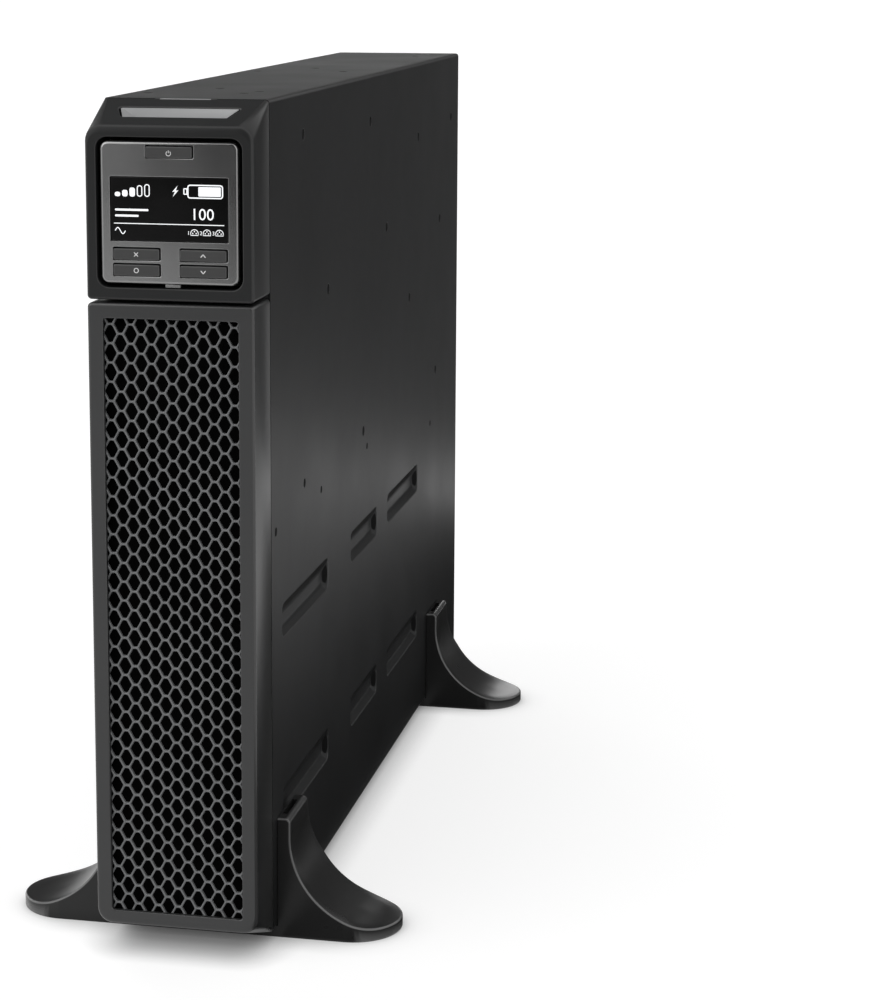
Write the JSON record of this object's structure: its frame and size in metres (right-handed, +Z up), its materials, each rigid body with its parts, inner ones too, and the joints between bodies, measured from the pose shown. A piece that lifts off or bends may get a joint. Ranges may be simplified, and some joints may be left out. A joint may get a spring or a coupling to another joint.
{
  "type": "rackmount ups",
  "caption": "Slim black uninterruptible power supply standing on edge on winged feet, with a mesh bezel, square display module and a rear panel of outlets, inlet and data ports.",
  "frame": {"origin": "on the floor, under the middle of the unit's bounding box", "axes": "+Z up, front faces -Y, +X is the base wall with the pressed recesses"},
  "size_m": [0.208, 0.584, 0.438],
  "materials": {
    "case_paint": "fine satin powder coat, charcoal black",
    "bezel_plastic": "fine moulded texture",
    "display_plastic": "satin",
    "screen": "polished",
    "key_plastic": "satin",
    "foot_plastic": "fine moulded texture",
    "bare_steel": "zinc-coated sheet",
    "plated_steel": "bright zinc plate",
    "plate_paint": "satin light grey",
    "outlet_plastic": "satin",
    "connector_green": "satin",
    "terminal_blue": "satin",
    "fan_plastic": "satin",
    "battery_case": "moulded",
    "circuit_board": "solder mask",
    "heat_sink_alloy": "extruded",
    "copper_winding": "enamelled wire",
    "capacitor_sleeve": "sleeved"
  },
  "bodies": {
    "unit": {"chassis_tray": "case_paint", "side_cover": "case_paint", "rear_panel": "case_paint", "card_slot_cover": "case_paint", "front_frame": "bare_steel", "display_bezel": "bezel_plastic", "front_left_foot": "foot_plastic", "front_right_foot": "foot_plastic", "rear_left_foot": "foot_plastic", "rear_right_foot": "foot_plastic", "battery_tray": "bare_steel", "battery_pack_front": "battery_case", "battery_pack_rear": "battery_case", "power_board": "circuit_board", "heat_sink": "heat_sink_alloy", "choke": "copper_winding", "capacitor_bank": "capacitor_sleeve", "fan_frame_upper": "fan_plastic", "fan_frame_lower": "fan_plastic", "outlet_plate": "plate_paint", "large_outlet_block": "outlet_plastic", "outlet_bank_right": "outlet_plastic", "outlet_bank_left": "outlet_plastic", "power_inlet": "outlet_plastic", "inlet_blade_insert": "plated_steel", "battery_connector": "connector_green", "network_jack": "plated_steel", "serial_jack": "outlet_plastic", "usb_port": "plated_steel", "terminal_block": "terminal_blue", "panel_screw_1": "plated_steel", "panel_screw_2": "plated_steel", "panel_screw_3": "plated_steel", "panel_screw_4": "plated_steel", "panel_screw_5": "plated_steel", "panel_screw_6": "plated_steel", "panel_screw_7": "plated_steel", "panel_screw_8": "plated_steel", "panel_screw_9": "plated_steel", "panel_screw_10": "plated_steel", "panel_screw_11": "plated_steel", "outlet_plate_screw_1": "plated_steel", "outlet_plate_screw_2": "plated_steel", "outlet_plate_screw_3": "plated_steel", "outlet_plate_screw_4": "plated_steel", "ground_screw": "plated_steel", "card_cover_screw_1": "plated_steel", "card_cover_screw_2": "plated_steel", "vent_screw": "plated_steel"},
    "display": {"display_housing": "display_plastic", "display_window": "screen"},
    "power_key": {"power_button": "key_plastic"},
    "back_key": {"back_button": "key_plastic"},
    "enter_key": {"enter_button": "key_plastic"},
    "up_key": {"up_button": "key_plastic"},
    "down_key": {"down_button": "key_plastic"},
    "lower_bezel": {"front_bezel": "bezel_plastic", "bezel_mesh": "bezel_plastic"},
    "upper_fan": {"fan_rotor_upper": "fan_plastic"},
    "lower_fan": {"fan_rotor_lower": "fan_plastic"}
  },
  "joints": [
    {"name": "display_pull", "type": "slide", "parent": "unit", "child": "display", "axis": [0, -1, 0], "range_m": [0, 0.035]},
    {"name": "bezel_pull", "type": "slide", "parent": "unit", "child": "lower_bezel", "axis": [0, -1, 0], "range_m": [0, 0.05]},
    {"name": "power_press", "type": "slide", "parent": "display", "child": "power_key", "axis": [0, 1, 0], "range_m": [0, 0.0008], "stiffness_N_per_m": 800},
    {"name": "back_press", "type": "slide", "parent": "display", "child": "back_key", "axis": [0, 1, 0], "range_m": [0, 0.0008], "stiffness_N_per_m": 800},
    {"name": "enter_press", "type": "slide", "parent": "display", "child": "enter_key", "axis": [0, 1, 0], "range_m": [0, 0.0008], "stiffness_N_per_m": 800},
    {"name": "up_press", "type": "slide", "parent": "display", "child": "up_key", "axis": [0, 1, 0], "range_m": [0, 0.0008], "stiffness_N_per_m": 800},
    {"name": "down_press", "type": "slide", "parent": "display", "child": "down_key", "axis": [0, 1, 0], "range_m": [0, 0.0008], "stiffness_N_per_m": 800},
    {"name": "upper_fan_spin", "type": "hinge", "parent": "unit", "child": "upper_fan", "pos_m": [0.021, 0.2685, 0.387], "axis": [0, 1, 0], "continuous": true},
    {"name": "lower_fan_spin", "type": "hinge", "parent": "unit", "child": "lower_fan", "pos_m": [0.021, 0.2685, 0.339], "axis": [0, 1, 0], "continuous": true}
  ]
}
